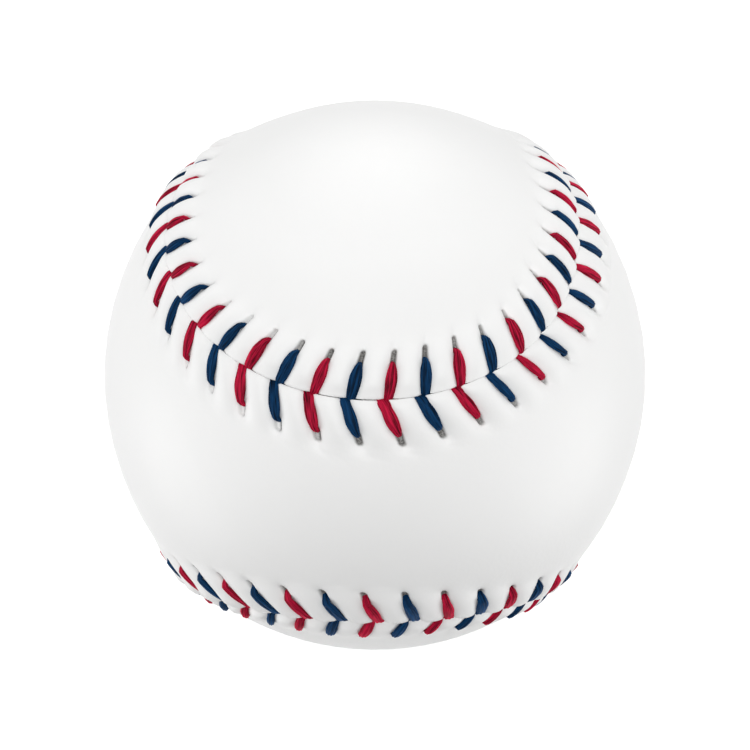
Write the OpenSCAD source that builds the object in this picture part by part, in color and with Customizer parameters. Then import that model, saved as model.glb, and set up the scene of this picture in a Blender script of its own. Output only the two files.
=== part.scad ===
// Hand-sewn baseball, built from the inside out: a cushioned cork pill, three wool windings,
// a cotton finishing winding, two figure-eight leather covers glued on, and two threads that sew them.
// The origin is the centre of the ball, with +Z up and -Y through the middle of the front cover's waist.

/* [Pill] */
// Diameter of the core, a ball of cork and rubber
core_d = 20.6; // [18:0.1:24]
// Wall of the two black rubber half shells round the core
inner_rubber_wall = 3.2; // [2:0.1:4.5]
// Thickness of the red rubber washer between the two half shells
washer_t = 1.6; // [0.8:0.1:3]
// Wall of the red rubber shell round the half shells
outer_rubber_wall = 3.15; // [2:0.05:4.5]

/* [Windings] */
// Depth of the first winding, four-ply grey wool
first_wool_depth = 14.65; // [12:0.05:16]
// Depth of the second winding, three-ply white wool
second_wool_depth = 1.8; // [1.2:0.05:2.5]
// Depth of the third winding, three-ply grey wool
third_wool_depth = 0.75; // [0.5:0.05:1.5]
// Depth of the finishing winding, fine white cotton
cotton_depth = 1.4; // [1.3:0.05:2]

/* [Covers] */
// Thickness of the latex coat under each cover
glue_t = 0.1; // [0.05:0.05:0.3]
// Thickness of the leather
leather_t = 1.25; // [1:0.05:1.6]
// Straight distance between the two seams across a cover's waist
waist_w = 33; // [28:0.5:38]
// How far the horseshoe ends of the seam curl round, as the share of its third harmonic
seam_curl = 0.456; // [0.38:0.002:0.5]
// Width of the open seam between the two covers
seam_gap = 0.95; // [0.9:0.05:1.4]

/* [Stitches] */
// Number of double stitches round the seam, half of them in each colour
stitch_count = 86; // [78:2:108]
// Distance of the needle holes from the middle of the seam
hole_reach = 4.5; // [4:0.1:6]
// Distance of the needle holes ahead of the middle of their stitch, along the seam
hole_lead = 1.25; // [0.6:0.05:2]
// Distance that hand sewing leaves a stitch behind or ahead of an even spacing, at most
stitch_drift = 1; // [0:0.05:1.5]
// Start of the first stitch from the middle of the upper front horseshoe, in pitches
stitch_phase = -0.35; // [-0.5:0.01:0.5]

/* [Thread] */
// Diameter of the thread where the leather squeezes it round
thread_d = 0.75; // [0.5:0.05:0.8]
// Width of the thread where it lies flat on the leather
thread_flat_w = 1.45; // [0.8:0.05:1.8]
// Clearance round the thread in its holes, in the seam and under the leather
thread_clear = 0.1; // [0.05:0.01:0.15]

/* [Hidden] */
$fn = 96;

// Radii of the layers, from the core out
core_r = core_d / 2;
inner_rubber_r = core_r + inner_rubber_wall;
outer_rubber_r = inner_rubber_r + outer_rubber_wall;
first_wool_r = outer_rubber_r + first_wool_depth;
second_wool_r = first_wool_r + second_wool_depth;
third_wool_r = second_wool_r + third_wool_depth;
cotton_r = third_wool_r + cotton_depth;
glue_r = cotton_r + glue_t;
ball_r = glue_r + leather_t;

// Thread sizes and places, in heights above the face of the leather
thread_r = thread_d / 2;
lie_height = thread_r + thread_clear;
under_height = -leather_t - thread_clear - thread_r;
needle_hole_r = thread_r + thread_clear;
bed_r = glue_r - thread_d - 2 * thread_clear;
bed_half_w = hole_reach + needle_hole_r + thread_clear;
// The two legs of a stitch go down through the seam side by side
leg_spacing = thread_d + 2.5 * thread_clear;
// Shares of the way from the hole to the seam between which a leg lies flat
flat_places = [0.28, 0.68];
thread_sides = 6;
under_steps = 3;

// Lines of the seam and of the cover edges
seam_samples = 720;
edge_steps = 176;
heading_step = 0.1;
far_r = 3 * ball_r;

// Colours
CORK = "#b98d5f";
BLACK_RUBBER = "#1d1d1f";
RED_RUBBER = "#a8322d";
GREY_WOOL = "#8f8d8a";
WHITE_WOOL = "#e4dfd2";
COTTON = "#eee9dc";
LATEX = "#d9c99a";
LEATHER = "#f3f2f0";
RED_THREAD = "#a81c38";
NAVY_THREAD = "#143455";

function unit(v) = v / norm(v);

// The seam as a closed line of directions from the ball's centre. A turn of 0 is the middle of the
// upper front horseshoe, and the line first runs from there towards +X.
waist_angle = asin(waist_w / 2 / ball_r);
seam_height = (1 - seam_curl) / tan(waist_angle);
function seam_at(turn) = unit([
    sin(turn) + seam_curl * sin(3 * turn),
    -seam_height * cos(2 * turn),
    cos(turn) - seam_curl * cos(3 * turn)
]);

// Turn of the seam by the distance along it, measured on the face of the leather
seam_turns = [for (k = [0:seam_samples]) 360 * k / seam_samples];
seam_steps = [for (k = [1:seam_samples])
    ball_r * norm(seam_at(seam_turns[k]) - seam_at(seam_turns[k - 1]))];
function step_after(k) = k < seam_samples ? seam_steps[k] : 0;
seam_table = [for (k = 0, along = 0; k <= seam_samples; along = along + step_after(k), k = k + 1)
    [along, seam_turns[k]]];
seam_length = seam_table[seam_samples][0];
function wrapped(along) = along - seam_length * floor(along / seam_length);
function turn_at(along) = lookup(wrapped(along), seam_table);

// A point near the seam: its distance along the seam, its distance across into the front cover,
// and its height above the face of the leather
function direction_at(along, across) =
    let (
        turn = turn_at(along),
        middle = seam_at(turn),
        ahead = unit(seam_at(turn + heading_step) - seam_at(turn - heading_step))
    )
    unit(middle + across / ball_r * cross(ahead, middle));
function place(along, across, height) = (ball_r + height) * direction_at(along, across);

// Stitches lie along the seam at an even pitch, with a slow drift as hand sewing leaves
pitch = seam_length / stitch_count;
function stitch_along(i) =
    let (even = i + stitch_phase)
    even * pitch - stitch_drift * cos(360 * even / stitch_count);

// Places on one leg of a stitch: side is 1 on the front cover and -1 on the rear one
function hole_along(i) = stitch_along(i) + hole_lead;
function dive_along(i, side) = stitch_along(i) - side * leg_spacing / 2;

// A hollow ball between two radii
module layer(inner_r, outer_r) {
    difference() {
        sphere(r = outer_r);
        sphere(r = inner_r);
    }
}

// The wedge from the ball's centre over one cover, with its edge set back from the seam's middle
module cover_wedge(side, set_back) {
    first = side > 0 ? edge_steps / 4 : 0;
    half = edge_steps / 2;
    function edge(j) = 1 + (first + side * j + 2 * edge_steps) % edge_steps;
    rim = [for (k = [0:edge_steps - 1])
        far_r * direction_at(k * seam_length / edge_steps, side * set_back)];
    sides = [for (j = [0:edge_steps - 1]) [0, edge(j + 1), edge(j)]];
    cap = [for (j = [1:half - 2]) [edge(j), edge(j + 1), edge(-j - 1), edge(-j)]];
    ends = [[edge(0), edge(1), edge(-1)], [edge(half), edge(-half + 1), edge(half - 1)]];
    polyhedron(points = concat([[0, 0, 0]], rim), faces = concat(sides, cap, ends), convexity = 6);
}

// A sheet over one cover's side of the ball, with the hollow ball's poles turned away from it
module cover_sheet(side, inner_r, outer_r, set_back) {
    intersection() {
        rotate([0, side > 0 ? 0 : 90, 0]) layer(inner_r, outer_r);
        cover_wedge(side, set_back);
    }
}

module needle_holes(side) {
    for (i = [0:stitch_count - 1]) {
        toward = direction_at(hole_along(i), side * hole_reach);
        rotate([0, acos(toward[2]), atan2(toward[1], toward[0])])
            translate([0, 0, glue_r - leather_t])
                cylinder(r = needle_hole_r, h = 3 * leather_t);
    }
}

module cork_core() {
    color(CORK) sphere(r = core_r);
}

// One black half shell: side is 1 for the upper one and -1 for the lower one
module inner_rubber_half(side) {
    color(BLACK_RUBBER)
        intersection() {
            layer(core_r, inner_rubber_r);
            translate([-ball_r, -ball_r, side > 0 ? washer_t / 2 : -ball_r - washer_t / 2])
                cube([2 * ball_r, 2 * ball_r, ball_r]);
        }
}

module rubber_washer() {
    color(RED_RUBBER)
        intersection() {
            layer(core_r, inner_rubber_r);
            translate([-ball_r, -ball_r, -washer_t / 2]) cube([2 * ball_r, 2 * ball_r, washer_t]);
        }
}

module outer_rubber_shell() {
    color(RED_RUBBER) layer(inner_rubber_r, outer_rubber_r);
}

module first_wool_winding() {
    color(GREY_WOOL) layer(outer_rubber_r, first_wool_r);
}

module second_wool_winding() {
    color(WHITE_WOOL) layer(first_wool_r, second_wool_r);
}

module third_wool_winding() {
    color(GREY_WOOL) layer(second_wool_r, third_wool_r);
}

// The room along the seam where the thread beds into the finishing winding
module thread_bed() {
    difference() {
        layer(bed_r, ball_r);
        cover_wedge(1, bed_half_w);
        cover_wedge(-1, bed_half_w);
    }
}

module cotton_winding() {
    color(COTTON)
        difference() {
            layer(third_wool_r, cotton_r);
            thread_bed();
        }
}

module glue_coat(side) {
    color(LATEX) cover_sheet(side, cotton_r, glue_r, bed_half_w);
}

module leather_cover(side) {
    color(LEATHER)
        difference() {
            cover_sheet(side, glue_r, ball_r, seam_gap / 2);
            needle_holes(side);
        }
}

// The route of one thread, as [point, width] pairs. It sews every second stitch from the first one on,
// goes round the seam twice, and takes one leg of each of its stitches on each round.
thread_stitches = stitch_count / 2;
function leg_stitch(first, k) = first + 2 * (k % thread_stitches);
function is_even(k) = k % 2 == 0;
function leg_side(k) = is_even(k + (k >= thread_stitches && is_even(thread_stitches) ? 1 : 0)) ? 1 : -1;
function between(a, b, share) = a + (b - a) * share;
function over_leg(i, side) =
    let (
        hole = [hole_along(i), side * hole_reach],
        dive = [dive_along(i, side), 0]
    )
    concat(
        [
            [place(hole[0], hole[1], under_height), thread_d],
            [place(hole[0], hole[1], lie_height), thread_d]
        ],
        [for (share = flat_places)
            let (flat = between(hole, dive, share))
            [place(flat[0], flat[1], lie_height), thread_flat_w]],
        [
            [place(dive[0], dive[1], lie_height), thread_d],
            [place(dive[0], dive[1], under_height), thread_d]
        ]
    );
function under_run(start, end, side) = [for (k = [1:under_steps - 1])
    let (share = k / under_steps)
    [place(between(start, end, share), side * hole_reach * share, under_height), thread_d]];
function thread_route(first) = [for (k = [0:2 * thread_stitches - 1])
    let (
        i = leg_stitch(first, k),
        next = leg_stitch(first, k + 1),
        end = hole_along(next) + (next < i ? seam_length : 0),
        last = k == 2 * thread_stitches - 1
    )
    each concat(
        over_leg(i, leg_side(k)),
        last ? [] : under_run(dive_along(i, leg_side(k)), end, leg_side(k + 1))
    )];

// Rings along a route. Each ring is an oval, flat to the ball, and its first corner is carried on from
// the ring before, so that the tube has no twist. The first one of all may point any way across the route.
any_way = [0.3, 0.5, 0.8];
function heading(route, k) =
    let (last = len(route) - 1)
    unit(route[min(k + 1, last)][0] - route[max(k - 1, 0)][0]);
function square_to(v, axis) = unit(v - (v * axis) * axis);
function carried(route) = [
    for (
        k = 0, corner = square_to(any_way, heading(route, 0));
        k < len(route);
        k = k + 1, corner = k < len(route) ? square_to(corner, heading(route, k)) : corner
    ) corner
];
function ring(point, width, axis, corner) =
    let (
        flat = width > thread_d ? square_to(cross(unit(point), axis), axis) : corner,
        tall = cross(axis, flat),
        start = atan2(corner * tall, corner * flat)
    )
    [for (j = [0:thread_sides - 1])
        let (a = start + 360 * j / thread_sides)
        point + width / 2 * cos(a) * flat + thread_r * sin(a) * tall];

module thread(first) {
    route = thread_route(first);
    corners = carried(route);
    last = len(route) - 1;
    points = [for (k = [0:last]) each ring(route[k][0], route[k][1], heading(route, k), corners[k])];
    walls = [for (k = [0:last - 1], j = [0:thread_sides - 1])
        let (
            a = k * thread_sides + j,
            b = k * thread_sides + (j + 1) % thread_sides
        )
        each [[a, b + thread_sides, b], [a, a + thread_sides, b + thread_sides]]];
    start_cap = [for (j = [1:thread_sides - 2]) [0, j, j + 1]];
    end_cap = [for (j = [1:thread_sides - 2])
        [last * thread_sides, last * thread_sides + j + 1, last * thread_sides + j]];
    polyhedron(points = points, faces = concat(walls, start_cap, end_cap), convexity = 10);
}

// Navy takes the first stitch and red the second
module red_thread() {
    color(RED_THREAD) thread(1);
}

module navy_thread() {
    color(NAVY_THREAD) thread(0);
}

cork_core();
inner_rubber_half(1);  // inner_rubber_upper_half
inner_rubber_half(-1);  // inner_rubber_lower_half
rubber_washer();
outer_rubber_shell();
first_wool_winding();
second_wool_winding();
third_wool_winding();
cotton_winding();
glue_coat(1);  // front_glue_coat
glue_coat(-1);  // rear_glue_coat
leather_cover(1);  // front_cover
leather_cover(-1);  // rear_cover
red_thread();
navy_thread();
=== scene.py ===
"""Dresses the baseball: its leather covers, its two sewing threads and the finish of what lies inside."""

import math

import bpy
import numpy as np
from bpy.props import FloatProperty, FloatVectorProperty, IntProperty, PointerProperty
from mathutils import Matrix, Vector


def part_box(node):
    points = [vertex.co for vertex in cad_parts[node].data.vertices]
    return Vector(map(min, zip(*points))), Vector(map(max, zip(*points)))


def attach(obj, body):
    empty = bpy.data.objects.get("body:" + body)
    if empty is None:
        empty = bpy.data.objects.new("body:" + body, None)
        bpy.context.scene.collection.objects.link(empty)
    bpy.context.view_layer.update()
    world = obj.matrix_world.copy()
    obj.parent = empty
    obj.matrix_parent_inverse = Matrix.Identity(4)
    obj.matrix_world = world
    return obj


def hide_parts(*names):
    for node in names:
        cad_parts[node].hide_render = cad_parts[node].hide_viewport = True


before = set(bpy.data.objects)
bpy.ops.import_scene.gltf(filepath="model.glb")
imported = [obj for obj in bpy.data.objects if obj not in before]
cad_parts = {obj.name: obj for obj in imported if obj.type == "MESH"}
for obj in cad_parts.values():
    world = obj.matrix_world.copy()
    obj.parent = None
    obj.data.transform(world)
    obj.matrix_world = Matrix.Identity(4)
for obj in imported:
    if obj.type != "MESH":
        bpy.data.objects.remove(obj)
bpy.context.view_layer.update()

bl_info = {
    "name": "Hand-sewn baseball",
    "version": (1, 0, 0),
    "blender": (4, 5, 0),
    "location": "View3D > Sidebar > Baseball",
    "description": "Builds the covers, threads and finishes of a hand-sewn baseball on its measured frame",
    "category": "Object",
}

MM = 0.001
COVER_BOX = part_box("front_cover")
BALL_RADIUS = (COVER_BOX[1][0] - COVER_BOX[0][0]) / 2
BODY = "root"
SEED = 43
FRONT = 1
REAR = -1


# Settings


def millimetres(size, name, description):
    """A length that a user may change, with its default in millimetres."""
    return FloatProperty(name=name, description=description, default=size * MM, unit="LENGTH")


def amount(value, name, description, **limits):
    """A plain number that a user may change."""
    return FloatProperty(name=name, description=description, default=value, **limits)


def colour(tone, name, description):
    """A colour that a user may change, as linear values."""
    return FloatVectorProperty(name=name, description=description, default=tone, subtype="COLOR")


class BaseballSeam(bpy.types.PropertyGroup):
    """Line of the seam, and the shape of the leather beside it."""

    waist_width: millimetres(33, "Waist width", "Straight distance between the seams across a cover's waist")
    curl: amount(0.456, "Curl", "How far the horseshoe ends of the seam curl round", min=0.38, max=0.5)
    right_stray: millimetres(0.9, "Right stray", "How far the sewn seam strays up the right side")
    low_right_stray: millimetres(1.6, "Low right stray", "How far the sewn seam strays at the lower right")
    low_left_stray: millimetres(0.7, "Low left stray", "How far the sewn seam strays at the lower left")
    leather_thickness: millimetres(1.25, "Leather thickness", "Thickness of the two leather covers")
    gap: millimetres(0.012, "Seam gap", "Width of the line between the two covers' edges")
    gap_at_stitch: millimetres(0.4, "Gap at a stitch", "Extra width of the seam where a stitch goes down")
    front_slack: millimetres(0.09, "Front slack", "Extra width of the seam in the middle of the front")
    ridge_height: millimetres(0.5, "Ridge height", "How far the thread inside lifts the leather at the seam")
    front_crest: millimetres(1.6, "Front crest", "Distance from the seam to where the front ridge falls")
    front_foot: millimetres(6.6, "Front foot", "Distance from the seam to where the front cover lies flat")
    rear_crest: millimetres(2.8, "Rear crest", "Distance from the seam to where the rear ridge falls")
    rear_foot: millimetres(8.6, "Rear foot", "Distance from the seam to where the rear cover lies flat")
    far_lift: millimetres(0.3, "Far lift", "Extra lift of the front cover at the upper ends of the sides")
    valley_depth: millimetres(0.3, "Valley depth", "How far the seam sinks at the upper ends of the sides")
    valley_width: millimetres(2.6, "Valley width", "Distance from the seam over which it sinks there")
    groove_depth: millimetres(0.34, "Groove depth", "How far a stitch presses into the leather")
    groove_width: millimetres(0.95, "Groove width", "Half width of the groove that a stitch presses")
    pillow_height: millimetres(0.32, "Pillow height", "How far the leather swells between two stitches")
    seam_sink: millimetres(0.4, "Seam sink", "How far below the true ball a stitch pulls the seam")
    front_lip_sink: millimetres(0.22, "Front lip sink", "How far the front cover bends down to the seam")
    front_lip_width: millimetres(1.2, "Front lip width", "Distance over which the front cover bends down")
    rear_lip_sink: millimetres(0.5, "Rear lip sink", "How far the rear cover bends down to the seam")
    rear_lip_width: millimetres(2.2, "Rear lip width", "Distance over which the rear cover bends down")
    edge_roll: millimetres(0.14, "Edge roll", "How far a cover's edge turns down into the seam")
    lobe_flattening: millimetres(0.55, "Lobe flattening", "How much flatter than a ball the front lobes are")
    rim_swelling: millimetres(0.25, "Rim swelling", "How much fuller than a ball the upper rear rim is")


class BaseballStitches(bpy.types.PropertyGroup):
    """The stitches along the seam, and the thread that they are sewn with."""

    count: IntProperty(
        name="Stitches",
        description="Number of double stitches round the seam, half of them in each colour",
        default=86,
    )
    drift: millimetres(1, "Drift", "Distance that a stitch lies behind or ahead of an even spacing")
    front_lag: millimetres(1.4, "Front lag", "Distance that the front legs fall behind on the right side")
    rear_lag: millimetres(0.8, "Rear lag", "Distance that the rear legs fall behind on the right side")
    upper_lag: millimetres(1.5, "Upper lag", "Distance that both legs fall further behind higher up there")
    top_lag: millimetres(2, "Top lag", "Distance that both legs fall behind once more at the top there")
    low_lag: millimetres(0.65, "Low lag", "Distance that both legs fall behind at the lower left")
    phase: amount(-0.35, "Phase", "Start of the first stitch from the middle of the front, in pitches")
    reach: millimetres(4.5, "Reach", "Distance from the seam to where a leg goes into its needle hole")
    front_lead: millimetres(1.3, "Front lead", "Distance of the front needle holes ahead of their stitch")
    rear_lead: millimetres(1.15, "Rear lead", "Distance of the rear needle holes ahead of their stitch")
    low_front_lead: millimetres(-0.4, "Low front lead", "Extra lead of the front needle holes underneath")
    low_rear_lead: millimetres(0.45, "Low rear lead", "Extra lead of the rear needle holes underneath")
    front_dive: millimetres(-0.45, "Front dive", "Distance ahead of its stitch where a front leg dives")
    rear_dive: millimetres(0.3, "Rear dive", "Distance ahead of its stitch where a rear leg dives")
    left_slant: millimetres(0.3, "Left slant", "How much further back front legs dive on the left and below")
    front_slot: millimetres(1.05, "Front slot", "Length of a front needle slot beyond the thread")
    rear_slot: millimetres(1.5, "Rear slot", "Length of a rear needle slot beyond the thread")
    slot_width: millimetres(0.9, "Slot width", "Width of a needle slot in the leather")
    width: millimetres(1.42, "Thread width", "Width of the flat waxed thread in the middle of a leg")
    front_width_at_seam: millimetres(1.65, "Front width at the seam", "Width of a front leg where it dives")
    rear_width_at_seam: millimetres(1.08, "Rear width at the seam", "Width of a rear leg where it dives")
    width_at_hole: millimetres(0.56, "Width at the hole", "Width of the thread at its needle hole")
    thickness: millimetres(0.72, "Thread thickness", "Thickness of the flat thread and of its runs inside")


class BaseballColours(bpy.types.PropertyGroup):
    """Colours of the pieces, as linear values."""

    leather: colour((0.9, 0.9, 0.895), "Leather", "White of the covers")
    # The slot grey is raw leather's grey made darker, so it also paints the shade inside the needle slots
    slot: colour((0.085, 0.083, 0.08), "Slot", "Grey of the raw leather inside the needle slots")
    red: colour((0.3, 0.0055, 0.027), "Red thread", "Colour of the red thread")
    navy: colour((0.0021, 0.0235, 0.069), "Navy thread", "Colour of the navy thread")
    grey_wool: colour((0.28, 0.27, 0.26), "Grey wool", "Colour of the first and third windings")
    white_wool: colour((0.78, 0.74, 0.64), "White wool", "Colour of the second winding")
    cotton: colour((0.82, 0.79, 0.71), "Cotton", "Colour of the finishing winding")
    black_rubber: colour((0.014, 0.014, 0.015), "Black rubber", "Colour of the pill's two half shells")
    red_rubber: colour((0.34, 0.035, 0.028), "Red rubber", "Colour of the pill's washer and outer shell")


class BaseballStage(bpy.types.PropertyGroup):
    """Camera, floor and lights."""

    tilt: FloatVectorProperty(
        name="View tilt",
        description="Turns about X, Y and Z, as one rotation vector, that face the ball to the camera",
        subtype="EULER",
        default=(math.radians(31.47), math.radians(0.56), math.radians(-1.17)),
    )
    distance: amount(10.06, "Distance", "Distance of the camera from the centre of the ball, in ball radii")
    lens: amount(132.1, "Lens", "Focal length on a 36 mm wide sensor, in millimetres")
    room_light: amount(0.71, "Room light", "Brightness of the white walls at the sides, behind and above")
    room_front: amount(0.0, "Front light", "Brightness of the walls low in front")
    room_below: amount(0.1, "Light below", "Share of the room's light that is left under the ball")
    floor: colour((0.9, 0.9, 0.9), "Floor", "Colour of the floor")
    floor_glow: amount(0.4, "Floor glow", "Brightness of the light that the floor gives off")


# The line of the seam

# Stretches of the seam, in stitches counted both ways from the middle of the upper front horseshoe, with
# the right side positive: where each starts, is full, starts to fade and has ended
STRAY_RIGHT = (4, 10, 14, 22)
LAG_RIGHT = (5, 9, 20, 28)
UPPER_LAG_RIGHT = (7, 16, 18, 32)
TOP_LAG_RIGHT = (12.8, 14.6, 18, 32)
DRAWN_RIGHT = (3.5, 5, 8, 10)
LAG_LOW_LEFT = (-41.5, -38, -33, -28)
FULL_LOW_LEFT = (-39.6, -37.8, -33, -28)

# Stretches that are the same on both sides
STRAY_LOW = (26, 32, 35.5, 38.7)
FAR_ENDS = (7, 11, 17, 23)
DRAWN_TIGHT = (1.5, 7, 26, 34)

# Stitches between which a change sets in, on one side or on both
LEFT_SIDE = (1.5, 6)
LEFT_SHORT_ENDS = (11, 16)
RIGHT_TURN = (5, 9)
RIGHT_SLOTS = (4, 8)
UNDERSIDE = (28, 37)
LOW_MIDDLE = (38, 42.5)
LOW_RIGHT_SHORT = (42.5, 38.5)
LOW_FLANKS = (42.3, 40.3)
LOW_LEFT_SHORT = (-40.5, -38)


def unit(vectors):
    """Vectors of length 1, along the last axis."""
    return vectors / np.linalg.norm(vectors, axis=-1, keepdims=True)


def smooth(start, end, value):
    """Moves softly from 0 at the start to 1 at the end, which may also be the smaller of the two."""
    share = np.clip((value - start) / (end - start), 0, 1)
    return share * share * (3 - 2 * share)


def during(stretch, value):
    """Rises softly from 0 to 1 between the first two limits of a stretch, and falls between the last two."""
    start, full, fading, end = stretch
    return smooth(start, full, value) * (1 - smooth(fading, end, value))


def bell(value, width):
    """A soft bump of height 1 and of about that half width."""
    return np.exp(-((value / width) ** 2))


class SeamLine:
    """The closed line of the seam on the ball, with places by their distances along and across it.

    Distances across are positive on the front cover and negative on the rear one.
    """

    SAMPLES = 2880
    SMALL_TURN = 1e-3

    # How much of the left side's valley there is on the right
    RIGHT_VALLEY = 0.3

    # How far an open slot leans ahead for its length, and the length over which it does
    SLOT_LEAN = 0.25
    LEANING_SLOT = 2 * MM

    # Distances from the seam at which the front cover's far lift sets in, is full and starts to fall
    FAR_LIFT = (0.5 * MM, 3 * MM, 4 * MM)

    # Height of a leg's bow, its change at the far ends, and how far a rear needle hole sinks there
    BOW = 0.08 * MM
    FRONT_FAR_BOW = 0.22 * MM
    REAR_FAR_BOW = -0.16 * MM
    REAR_FAR_SINK = 0.12 * MM

    # Shares of the groove's depth and of the seam's sink that are lost underneath or where it is sewn tight
    HOLE_EASED_BELOW = 0.7
    SEAM_EASED_BELOW = 0.4
    SEAM_EASED_TIGHT = 0.35

    # Shares of the reach by which legs are longer or shorter round the seam
    FRONT_LEGS = {"left": -0.1, "right": 0.1, "below": 0.09, "low_right": -0.21}
    REAR_LEGS = {"everywhere": -0.07, "left": -0.14, "below": -0.13, "low_flanks": -0.16, "low_left": -0.14}

    def __init__(self, scene):
        self.seam = scene.baseball_seam
        self.stitches = scene.baseball_stitches
        waist_angle = math.asin(self.seam.waist_width / 2 / BALL_RADIUS)
        self.height = (1 - self.seam.curl) / math.tan(waist_angle)
        self.turns = np.linspace(0, 2 * math.pi, self.SAMPLES + 1)
        points = BALL_RADIUS * self.middle(self.turns)
        steps = np.linalg.norm(np.diff(points, axis=0), axis=1)
        self.along = np.concatenate([[0], np.cumsum(steps)])
        self.length = self.along[-1]
        self.pitch = self.length / self.stitches.count

    def middle(self, turn):
        """Directions of the seam from the ball's centre."""
        curl = self.seam.curl
        x = np.sin(turn) + curl * np.sin(3 * turn)
        y = -self.height * np.cos(2 * turn)
        z = np.cos(turn) - curl * np.cos(3 * turn)
        return unit(np.stack([x, y, z], axis=-1))

    def directions(self, along, across):
        """Directions of points that lie at these distances along and across the seam."""
        along, across = np.broadcast_arrays(along, across)
        across = across + self.sway(along)
        turn = np.interp(along % self.length, self.along, self.turns)
        middle = self.middle(turn)
        ahead = unit(self.middle(turn + self.SMALL_TURN) - self.middle(turn - self.SMALL_TURN))
        return unit(middle + (across / BALL_RADIUS)[..., None] * np.cross(ahead, middle))

    def place(self, along, across, height):
        """Points at these distances along and across the seam and this height above the leather."""
        height = np.broadcast_to(height, np.broadcast(along, across).shape)
        return (BALL_RADIUS + height)[..., None] * self.directions(along, across)

    def stitch(self, number):
        """Distance of a stitch along the seam. Numbers between two stitches give places between them."""
        even = number + self.stitches.phase
        sway = np.cos(2 * math.pi * even / self.stitches.count)
        return even * self.pitch - self.stitches.drift * sway

    def signed(self, number):
        """Number of a stitch counted both ways from the middle of the upper front horseshoe."""
        half = self.stitches.count / 2
        return (number + half) % self.stitches.count - half

    def sway(self, along):
        """How far the seam, as sewn, strays from its true line: up the right side and at both lower ends."""
        own = self.seam
        signed = self.signed(along / self.pitch - self.stitches.phase)
        low = np.where(signed > 0, own.low_right_stray, own.low_left_stray)
        return -own.right_stray * during(STRAY_RIGHT, signed) - low * during(STRAY_LOW, np.abs(signed))

    def far(self, number):
        """How near a stitch is to the sides' upper ends, where the seam lies in a valley: 0 to 1."""
        signed = self.signed(number)
        return np.where(signed < 0, 1, self.RIGHT_VALLEY) * during(FAR_ENDS, np.abs(signed))

    def tightness(self, number):
        """How tightly the thread is drawn: 1 on the ball's two sides, 0 at its front, underside and back."""
        return during(DRAWN_TIGHT, np.abs(self.signed(number)))

    def tuck(self, number):
        """How near a stitch is to the ball's underside, where the legs lie higher: 0 to 1."""
        return smooth(*UNDERSIDE, np.abs(self.signed(number)))

    def left(self, number):
        """How far round the ball's left side a tightly drawn stitch lies: 0 to 1."""
        return smooth(*LEFT_SIDE, -self.signed(number)) * self.tightness(number)

    def sewn_at(self, side, number):
        """Distance along the seam of one cover's leg of a stitch, with its lag."""
        own = self.stitches
        signed = self.signed(number)
        lag = own.front_lag if side == FRONT else own.rear_lag
        upper = own.upper_lag * during(UPPER_LAG_RIGHT, signed) + own.top_lag * during(TOP_LAG_RIGHT, signed)
        low = own.low_lag * during(LAG_LOW_LEFT, signed)
        return self.stitch(number) - lag * during(LAG_RIGHT, signed) - upper - low

    def leg_line(self, side, number, across):
        """How far the middle of a leg lies ahead of its stitch, by the distance from the seam."""
        own = self.stitches
        if side == FRONT:
            signed = self.signed(number)
            slanted = np.maximum(smooth(*LEFT_SIDE, -signed), smooth(*LOW_MIDDLE, signed))
            start = own.front_dive - own.left_slant * slanted
            lead = own.front_lead + own.low_front_lead * self.tuck(number)
        else:
            start = own.rear_dive
            lead = own.rear_lead + own.low_rear_lead * self.tuck(number)
        return start + (lead - start) * across / own.reach

    def slot_line(self, side, number, across):
        """The leg's line, which turns more square to the seam where the open needle slot starts."""
        reach = self.stitches.reach
        beyond = np.clip(across - reach, 0, self.LEANING_SLOT)
        return self.leg_line(side, number, np.minimum(across, reach)) + self.SLOT_LEAN * beyond

    def slot_length(self, side):
        """Length of the open needle slots of one cover, beyond the thread."""
        return self.stitches.front_slot if side == FRONT else self.stitches.rear_slot

    def foot(self, side):
        """Distance from the seam to where a cover lies flat on the ball."""
        return self.seam.front_foot if side == FRONT else self.seam.rear_foot

    def ridge(self, side, across, far=0.0):
        """Height to which the thread under it lifts the leather, by the distance from the seam."""
        own, foot = self.seam, self.foot(side)
        crest = own.front_crest if side == FRONT else own.rear_crest
        height = own.ridge_height * (1 - smooth(crest, foot, across))
        if side == FRONT:
            height = height + own.far_lift * far * during((*self.FAR_LIFT, foot), across)
        return height

    def stretch(self, side, number):
        """How long the legs of one cover are beside the even reach, round the seam."""
        signed, tuck, left = self.signed(number), self.tuck(number), self.left(number)
        if side == FRONT:
            share = self.FRONT_LEGS
            low_right = smooth(*LOW_RIGHT_SHORT, signed) * (signed > 0)
            below = tuck * (share["below"] + share["low_right"] * low_right)
            right = smooth(*RIGHT_TURN, signed) * self.tightness(number)
            short = left * (1 - smooth(*LEFT_SHORT_ENDS, -signed))
            return 1 + below + share["left"] * short + share["right"] * right
        share = self.REAR_LEGS
        flanks = smooth(*LOW_FLANKS, np.abs(signed))
        low_left = smooth(*LOW_LEFT_SHORT, signed) * (signed < 0)
        below = share["below"] + share["low_flanks"] * flanks + share["low_left"] * low_left
        return 1 + share["everywhere"] + tuck * below + share["left"] * left

    def lip(self, side, number, across):
        """Depth to which a cover bends down to the seam, the same for both where they are sewn tight."""
        own = self.seam
        valley = own.valley_depth * self.far(number) * (1 - smooth(0, own.valley_width, across))
        if side == FRONT:
            return valley + own.front_lip_sink * (1 - smooth(0, own.front_lip_width, across))
        sink = own.rear_lip_sink + (own.front_lip_sink - own.rear_lip_sink) * self.tightness(number)
        return valley + sink * (1 - smooth(0, own.rear_lip_width, across))

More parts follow.
